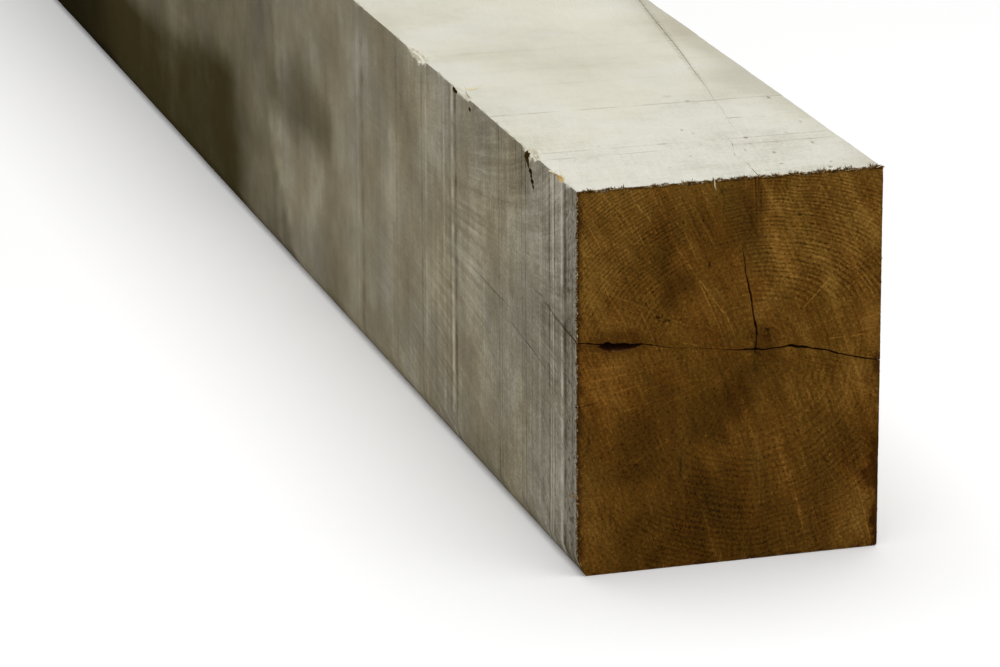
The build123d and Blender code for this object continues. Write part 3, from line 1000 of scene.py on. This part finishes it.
def end_grain(slot, lines=(), marks=()):
    """A cross-cut end: rings and rays about the pith, scratches of the saw, dark patches, greyer rim."""
    s = Shading(materials[slot], LIGHT_ON[slot])
    place_x, _, place_z = s.parts(s.place)

    def away_from(x, z):
        """The way across the end from a point of it."""
        return s.vector("MULTIPLY", s.vector("SUBTRACT", s.place, (x * MM, 0, z * MM)), (1, 0, 1))

    def radial(turn, out, *settings):
        """Noise that runs out from the pith."""
        return s.noise(1, *settings, place=s.joined(x * turn, radius * out, z * turn))

    def swept(across, along, *settings, shift=(0, 0, 0)):
        """Noise drawn out along the sweep of the saw."""
        return s.noise((across, 0, along), *settings, shift=shift, place=sweep)

    from_pith = away_from(PITH_X, PITH_Z)
    radius, way = s.length(from_pith), s.vector("NORMALIZE", from_pith)
    x, _, z = s.parts(way)
    sweep = s.joined(s.length(away_from(SAW_X, SAW_Z)), 0, place_z)

    # Years: oval, wider below the pith, clear in some places and worn in others, with their pores in rows
    dx, _, dz = s.parts(from_pith)
    oval_radius = s.length(s.joined(dx * dz.along(-30, 30, 1 / OVAL_BELOW, 1 / OVAL_ABOVE), 0, dz))
    lobes = s.noise(2.4, place=way) * radius
    ring_at = oval_radius * (dz / oval_radius).span(-0.8, 0.5, WIDER_BELOW, 1)
    ring_at += lobes * 0.08 + s.noise(14) * (5 * MM) + s.noise(110) * (0.6 * MM)
    years = (ring_at / (RING_RADIUS * MM)) ** RING_POWER * (RING_RADIUS / RING_PITCH / RING_POWER)
    uneven = s.noise(1, place=s.joined(years * 0.45, 3, 0))
    ring = (uneven * 1.2 + years).math("PINGPONG", 0.5).span(0.05, 0.38, -0.6, 0.4)
    arc = z.math("ARCTAN2", x) * radius
    pores_in_rows = s.noise(1, 1, place=s.joined(arc * 620, radius * 820, 0))
    worn = s.noise(1, 3, place=s.joined(arc * 70, radius * 190, 5))
    ring_clear = (s.kept("clear") * 0.85 + 0.12) * worn.span(-0.16, 0.14, 0.25, 1.3)
    rings = ring * ring_clear * pores_in_rows.span(-0.12, 0.14, 0, 1.7)

    rays = radial(95, 16, 1).span(0.16, 0.24)
    fine_rays, bands = radial(110, 26, 3, 0.6), radial(5, 9, 3, 0.65)
    scratches, drag = swept(560, 40, 3, 0.6), swept(120, 9, 4, 0.65)
    streaks = swept(46, 6, 3, shift=(6, 0, 1))
    bright_scratches = swept(460, 16, 1, shift=(3, 0, 5)).span(0.17, 0.25)
    dark_scratches = swept(380, 24, 1, shift=(8, 0, 2)).span(0.14, 0.24)
    flecks = swept(600, 300, 1).span(0.16, 0.24)
    pores = swept(700, 420, 1, shift=(5, 1, 2)).span(0.12, 0.22)
    speck, blotch = s.noise(520, 3, 0.75), s.noise(21, 4, 0.65)
    darkening = s.kept("stain_and_shade") * (drag * 1.6 + bands + blotch * 0.7 + scratches * 0.8 + 1)
    rougher = place_x.along(LEFT, LEFT + 8, 1.9, 1)
    tone = (
        rings * 0.40 + rays * 0.18 + fine_rays * 0.30 + bands * 0.24 + scratches * 0.54
        + bright_scratches * 0.22 - dark_scratches * 0.14 + drag * 0.38 + streaks * 0.26
        + speck * rougher * 1.05 + flecks * 0.26 - pores * 0.30 + blotch * 0.40 - darkening * 0.34 + 0.5
    )
    if lines:
        tone += fine_lines(s, lines, place_x, place_z)
        tone -= dark_marks(s, marks, place_x, place_z, 0) * 0.5
    greyer = s.kept("grey") * (drag * 1.2 + blotch * 1.2 + 1)
    colour = s.mix(greyer.least(1), s.ramp(tone, CORE), s.ramp(tone, RIM))
    tint = swept(30, 12, 4, 0.65, shift=(1, 0, 4))
    colour = s.mix(tint.span(0, 0.2, 0, 0.6), colour, (1.06, 0.88, 0.78, 1), "MULTIPLY")
    colour = s.mix(tint.span(0, -0.2, 0, 0.6), colour, (0.95, 1.02, 0.92, 1), "MULTIPLY")
    colour = s.mix(s.kept("red") * drag.span(-0.15, 0.1, 1, 0.7), colour, s.seen((52, 27, 6)))
    torn = s.kept("bruise") * (speck - flecks * 0.3).span(-0.10, 0.06, 0.1, 0.95)
    colour = s.mix(torn, colour, s.seen((50, 26, 11)))
    s.finish(colour, 0.85, rings * 0.4 + scratches * 0.7 + speck * 0.6 + fine_rays * 0.3, 0.5)


def check_walls():
    """Inside the checks: dark torn grain."""
    s = Shading(materials["check"], LIGHT_ON["check"])
    torn_grain = s.noise((900, 30, 900), 3)
    colour = s.ramp(torn_grain + 0.5, [(60, 35, 17), (116, 78, 40)], (0.25, 0.8))
    colour = s.mix(s.kept("dust"), colour, s.seen((150, 142, 118)))
    colour = s.mix(s.kept("rot") * 0.85, colour, s.seen((46, 42, 20)))
    s.finish(colour, 0.95, torn_grain, 0.6)


def torn_wood(material):
    """Broken fibres: each keeps its own shade."""
    s = Shading(material, LIGHT_ON_FIBRES)
    shade = s.noise(1200) * 0.5 + s.kept("shade")
    s.finish(s.ramp(shade, [(44, 26, 7), (114, 80, 32), (232, 222, 186)], (0, 0.55, 1)), 0.9)


# Torn fibres round the ends and slivers at the chips

# Single slivers: root across, back and up, the way it points, its flat side, length, width, shade
SLIVERS = [
    ((-11, 0.4, 249.6), (-0.15, -0.35, -1), (1, 0, 0), 6, 0.9, 0.92),
    ((-99, 20, 247), (0.04, 1, 0.1), (0, 0, 1), 30, 1.6, 1),
    ((-99.6, 58, 248.4), (-0.05, -1, 0.05), (0, 0, 1), 22, 1.2, 0.95),
    ((-97.5, 84, 247), (0.1, 1, 0.16), (0, 0, 1), 20, 1.5, 0.95),
    ((-98, 116, 246.8), (0, -1, 0.12), (0, 0, 1), 16, 1.2, 0.9),
    ((-98.2, 107, 244), (-0.1, -0.7, -0.5), (0, 1, 0), 9, 1, 0.75),
    ((-95, 262, 249.8), (0.75, -0.7, 0.05), (0, 0, 1), 15, 0.8, 1),
    ((-95, 262, 249.8), (0.9, -0.35, 0.05), (0, 0, 1), 12, 0.7, 1),
    ((-98, 240, 248), (0.05, 1, 0.08), (0, 0, 1), 18, 1.2, 0.7),
    ((-99.9, 0.5, 53), (-0.02, 1, -0.34), (0, 0, 1), 18, 1.8, 0.62),
]
# Fibres along the arrises of an end: how many, the longest, the way they stand up off the face,
# the way the arris runs, where it starts (across, up) and its length
FRINGES = {
    "top": (3000, 3.4, (0, 0, 1), (1, 0, 0), (LEFT, TOP - 0.5), WIDTH),
    "left": (1700, 2.2, (-1, 0, 0), (0, 0, 1), (LEFT + 0.5, WANE_HEIGHT), TOP - WANE_HEIGHT),
    "right": (260, 1.2, (1, 0, 0), (0, 0, 1), (RIGHT - 0.5, 0), TOP),
    "underside": (180, 1, (0, 0, -1), (1, 0, 0), (LEFT + WANE_WIDTH, 1), WIDTH - WANE_WIDTH),
}
# A fibre is rooted this deep
FIBRE_SINK = 0.6


def fibre(points, faces, shades, root, way, side, length, width, shade):
    """A thin closed splinter from its root to its tip, bent a little to one side."""
    way, side = np.asarray(way, float), np.asarray(side, float)
    way = way / np.linalg.norm(way)
    side = side - way * side.dot(way)
    side = side / np.linalg.norm(side)
    third = np.cross(way, side)
    first = len(points)
    for along, share in ((-FIBRE_SINK, 1), (length * 0.55, 0.7)):
        bend = side * 0.12 * max(along, 0)
        for a, b in ((0.5, 0), (-0.5, 0.12), (-0.1, 0.4)):
            points.append(root + way * along + bend + (side * a + third * b) * width * share)
    points.append(root + way * length + side * 0.28 * length)
    for k in range(3):
        n = (k + 1) % 3
        faces.append((first + k, first + n, first + 3 + n, first + 3 + k))
        faces.append((first + 3 + k, first + 3 + n, first + 6))
    faces.append((first + 2, first + 1, first))
    shades.extend([shade] * 7)


def end_fringe(points, faces, shades, end, outward, seed):
    """Fibres torn up along the four arrises of one end."""
    rng = np.random.default_rng(seed)
    for edge, (count, longest, off, run, (x, z), extent) in FRINGES.items():
        off, run = np.array(off), np.array(run)
        for _ in range(count):
            share = rng.uniform(0.004, 0.996)
            tuft = 0.35 + 0.65 * (value_noise(share * 60, seed, 41) > -0.1)
            length = longest * tuft * rng.uniform(0.25, 1) ** 1.6 * min(1, 0.25 + 20 * min(share, 1 - share))
            if edge == "top":
                length *= 1 + 0.9 * float(smooth(0.7, 1, share))
            root = np.array([x, end - outward * rng.uniform(0.2, 1.4), z]) + run * share * extent
            along_edge = rng.normal(0, 1.1)
            lift = rng.uniform(0.1, 0.8) if edge != "underside" else 0.15
            way = off * lift + run * along_edge + np.array([0, outward, 0]) * rng.uniform(-0.2, 0.7)
            dark = np.clip(rng.normal(0.36, 0.2), 0, 1) if rng.uniform() > 0.1 else rng.uniform(0.8, 1)
            fibre(points, faces, shades, root, way, run, length, rng.uniform(0.3, 1), dark)


def torn_fibres():
    """All fibres and slivers as one mesh, each with its shade."""
    points, faces, shades = [], [], []
    end_fringe(points, faces, shades, NEAR, -1, 42)
    end_fringe(points, faces, shades, FAR, 1, 43)
    for (x, back, z), *rest in SLIVERS:
        fibre(points, faces, shades, np.array([x, NEAR + back, z]), *rest)
    mesh = bpy.data.meshes.new("torn_fibres")
    mesh.from_pydata(np.array(points) * MM, [], faces)
    mesh.attributes.new("shade", "FLOAT", "POINT").data.foreach_set("value", shades)
    return mesh


# The beam and its fibres

materials = {name: bpy.data.materials.new("oak_" + name) for name in SLOTS}
plain = {
    "stain_and_shade_tone": (50, 42, 22), "bruise_tone": (58, 38, 22), "rough": 0.5, "saw": 0.9, "contrast": 1.2,
    "grained": 1.2, "fade": (600, 1600, 0.7, 1700, 2000),
}
sawn_face(
    "left", tones=[(80, 75, 63), (127, 121, 106), (168, 164, 151)], tan=(1, 0.96, 0.84),
    stain_and_shade_tone=(52, 45, 22), bruise_tone=(58, 38, 22), rough=0.9, saw=1, contrast=1.15, grained=0.88,
    fade=(200, 600, 0.3, 1650, 2000), lines=LEFT_LINES,
)
# The top's tones are paler than the sides'; part of that is painted light from above
sawn_face(
    "top", tones=[(172, 168, 148), (219, 217, 203), (238, 237, 228)], tan=(1, 0.99, 0.955),
    stain_and_shade_tone=(150, 143, 118), bruise_tone=(72, 48, 19), rough=0, saw=0.33, contrast=0.8, grained=0.5,
    fade=(60, 320, 0.25, 620, 820), lines=TOP_LINES, marks=TOP_MARKS, check_shade=TOP_CHECK_SHADE,
)
sawn_face("right", tones=[(82, 76, 62), (124, 117, 98), (162, 156, 138)], tan=(1, 0.95, 0.82), **plain)
sawn_face("underside", tones=[(76, 68, 53), (112, 103, 84), (146, 138, 118)], tan=(1, 0.94, 0.8), **plain)
end_grain("near_end", PALE_LINES, END_MARKS)
end_grain("far_end")
check_walls()

beam = linked("oak_beam_wood", beam_mesh())
for material in materials.values():
    beam.data.materials.append(material)
cut_checks(beam)
keep_values(beam.data)
bake_layout(beam.data)

fibre_material = bpy.data.materials.new("oak_torn_fibres")
torn_wood(fibre_material)
fibres = linked("torn_fibres", torn_fibres())
fibres.data.materials.append(fibre_material)

for piece in (beam, fibres):
    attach(piece, "root")
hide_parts("oak_beam")

# Floor, light and camera

# The floor glows a little where it is seen, which brings it up to white outside the beam's shadow
FLOOR_SIZE, FLOOR_COLOUR, FLOOR_GLOW = 60000, (0.9, 0.9, 0.9, 1), 0.16
WORLD_LIGHT, WORLD_SEEN = 0.26, 1
WHITE = (1, 1, 1, 1)
# One lamp over the near end, its power in watts
LAMP_WIDTH, LAMP_LENGTH, LAMP_POWER = 4000, 5000, 165
LAMP_PLACE = Vector((300, NEAR + 100, 4000))


def strength(tree, for_light, for_camera):
    """One strength for light that falls on things, one for what is seen, also in metal and through glass."""
    rays = add_node(tree, "LightPath").socket.node.outputs
    camera, glossy, through = (Value(rays[f"Is {kind} Ray"]) for kind in ("Camera", "Glossy", "Transmission"))
    return add_node(tree, "MapRange", (camera.most(glossy).most(through), 0, 1, for_light, for_camera))


scene = bpy.context.scene
scene.view_settings.view_transform = "Standard"

bpy.ops.mesh.primitive_plane_add(size=FLOOR_SIZE * MM)
floor = bpy.context.object
floor.name = "floor"
floor_material = bpy.data.materials.new("floor")
surface = Shading(floor_material, 1)
surface.finish(FLOOR_COLOUR, 1)
feed(surface.shader["Emission Color"], WHITE)
feed(surface.shader["Emission Strength"], strength(floor_material.node_tree, 0, FLOOR_GLOW))
floor.data.materials.append(floor_material)

world = bpy.data.worlds.new("studio")
scene.world = world
world.use_nodes = True
background = world.node_tree.nodes["Background"].inputs
feed(background["Color"], WHITE)
feed(background["Strength"], strength(world.node_tree, WORLD_LIGHT, WORLD_SEEN))

lamp = bpy.data.lights.new("overhead", "AREA")
lamp.shape = "RECTANGLE"
lamp.size, lamp.size_y = LAMP_WIDTH * MM, LAMP_LENGTH * MM
lamp.energy = LAMP_POWER
linked("overhead", lamp).location = LAMP_PLACE * MM

# The camera stands as the photograph's did: its place from the near end, and its right, down and forward ways
FOCAL_PIXELS, PICTURE_WIDTH, SENSOR, CLIP_END = 5037.9, 1000, 36, 200000
CAMERA_PLACE = Vector((-983.94, NEAR - 2829.29, 1080.17))
CAMERA_RIGHT = Vector((0.9587, -0.28437, -0.0048))
CAMERA_DOWN = Vector((-0.08872, -0.28296, -0.95502))
CAMERA_FORWARD = Vector((0.27022, 0.916, -0.29651))
camera_data = bpy.data.cameras.new("camera")
camera_data.sensor_width = SENSOR
camera_data.lens = FOCAL_PIXELS / PICTURE_WIDTH * SENSOR
camera_data.clip_end = CLIP_END * MM
camera = linked("camera", camera_data)
turn = Matrix((CAMERA_RIGHT, -CAMERA_DOWN, -CAMERA_FORWARD)).transposed().to_4x4()
camera.matrix_world = Matrix.Translation(CAMERA_PLACE * MM) @ turn
scene.camera = camera
